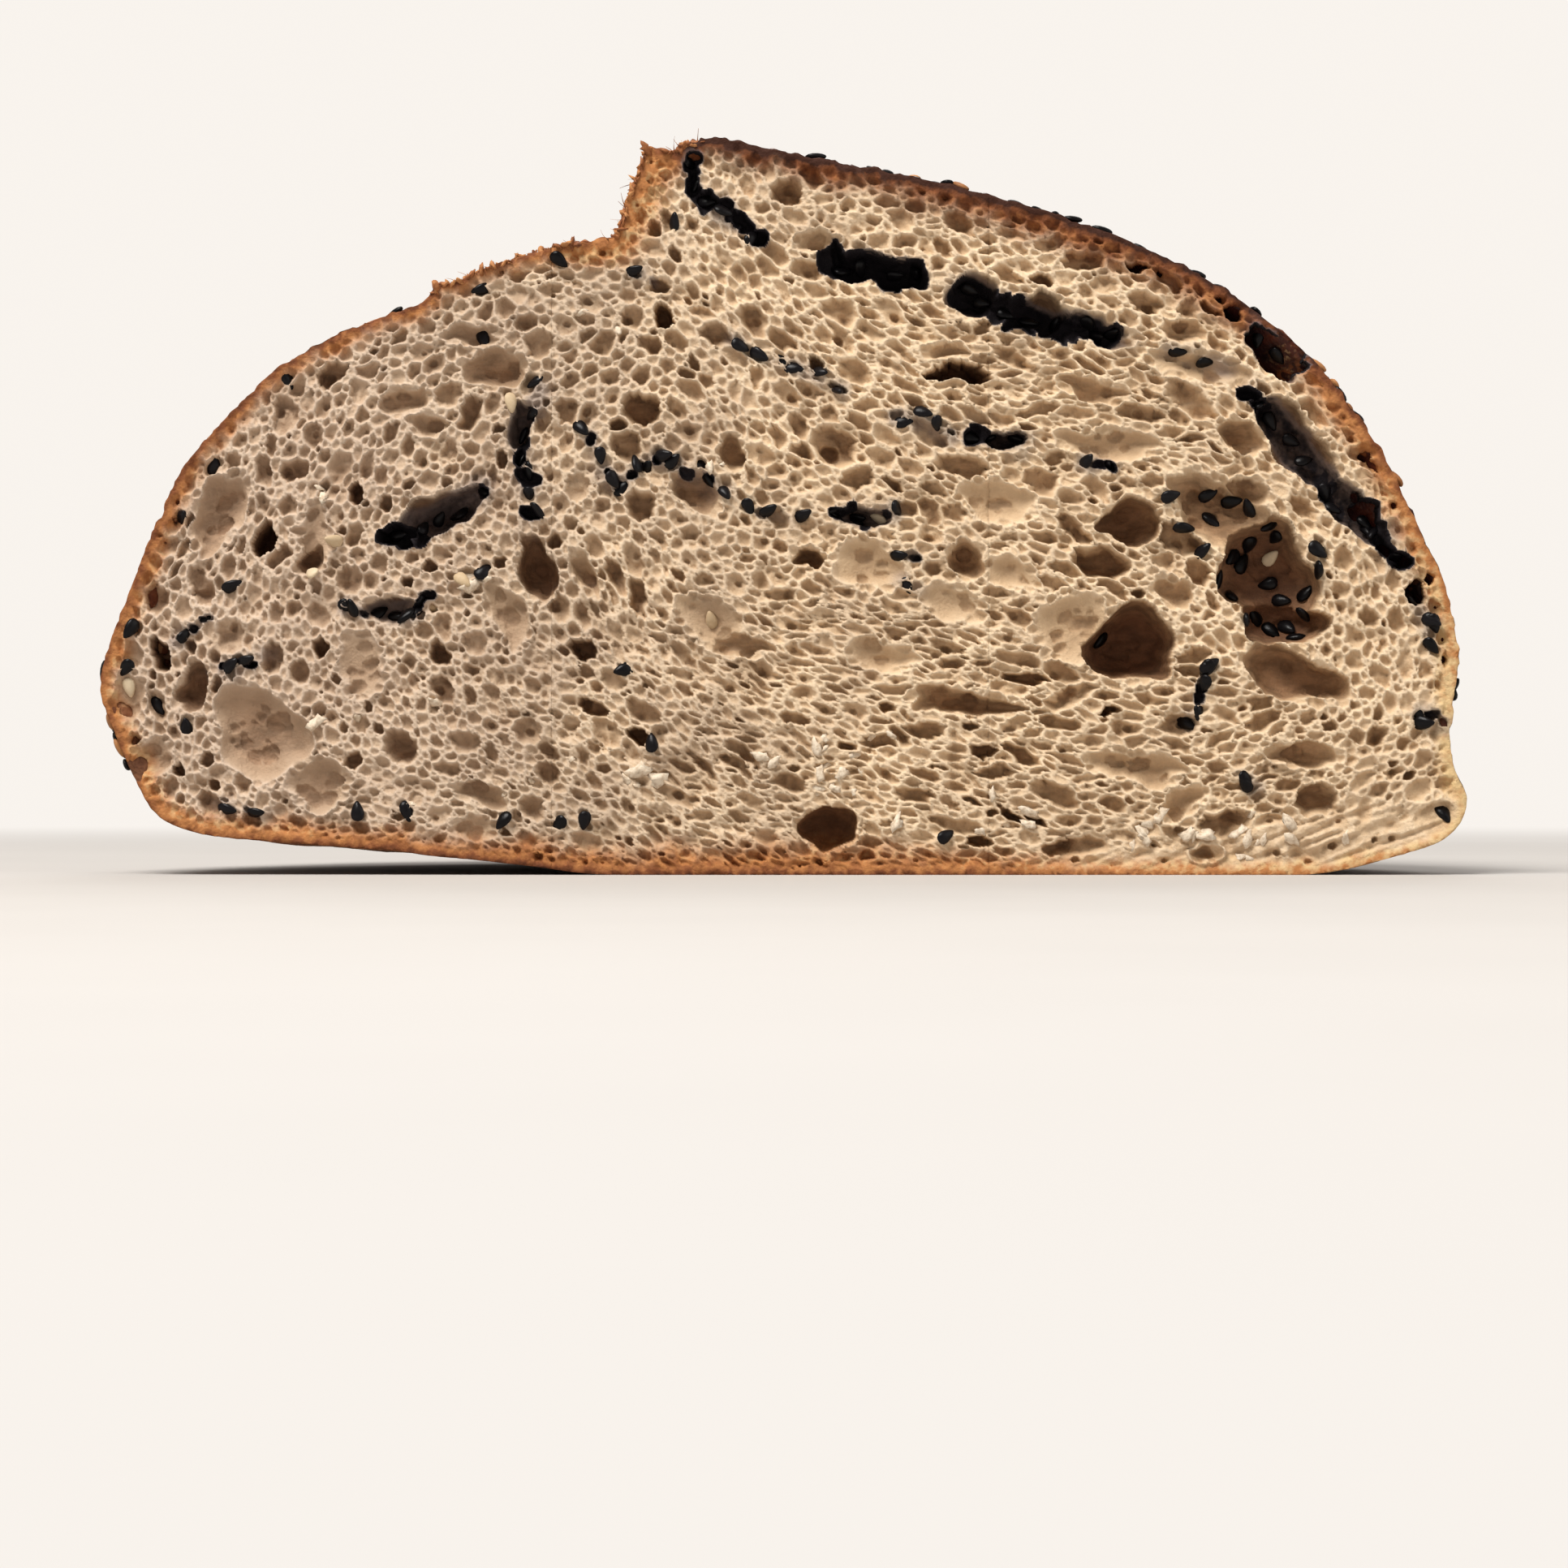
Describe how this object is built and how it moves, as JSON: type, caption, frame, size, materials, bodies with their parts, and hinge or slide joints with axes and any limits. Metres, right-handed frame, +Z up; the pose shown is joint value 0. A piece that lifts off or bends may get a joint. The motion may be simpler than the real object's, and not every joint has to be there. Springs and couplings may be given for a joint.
{
  "type": "sourdough loaf",
  "caption": "Half of a round sourdough loaf, cut through the middle to show an open crumb, with a seeded dark crust and an ear.",
  "frame": {"origin": "on the floor under the middle of the half loaf, in the flat of its bottom crust", "axes": "+X across the cut to the right as seen from the front, +Y from the cut face towards the rounded end, +Z up"},
  "size_m": [0.1995, 0.0996, 0.1077],
  "materials": {
    "crust": "dark baked crust, semi-gloss blisters, matte where it tore",
    "crumb": "soft open crumb, matte, with satin hole walls",
    "black_sesame": "satin",
    "brown_sesame": "satin"
  },
  "bodies": {
    "root": {"loaf_half": "crust"}
  },
  "joints": []
}
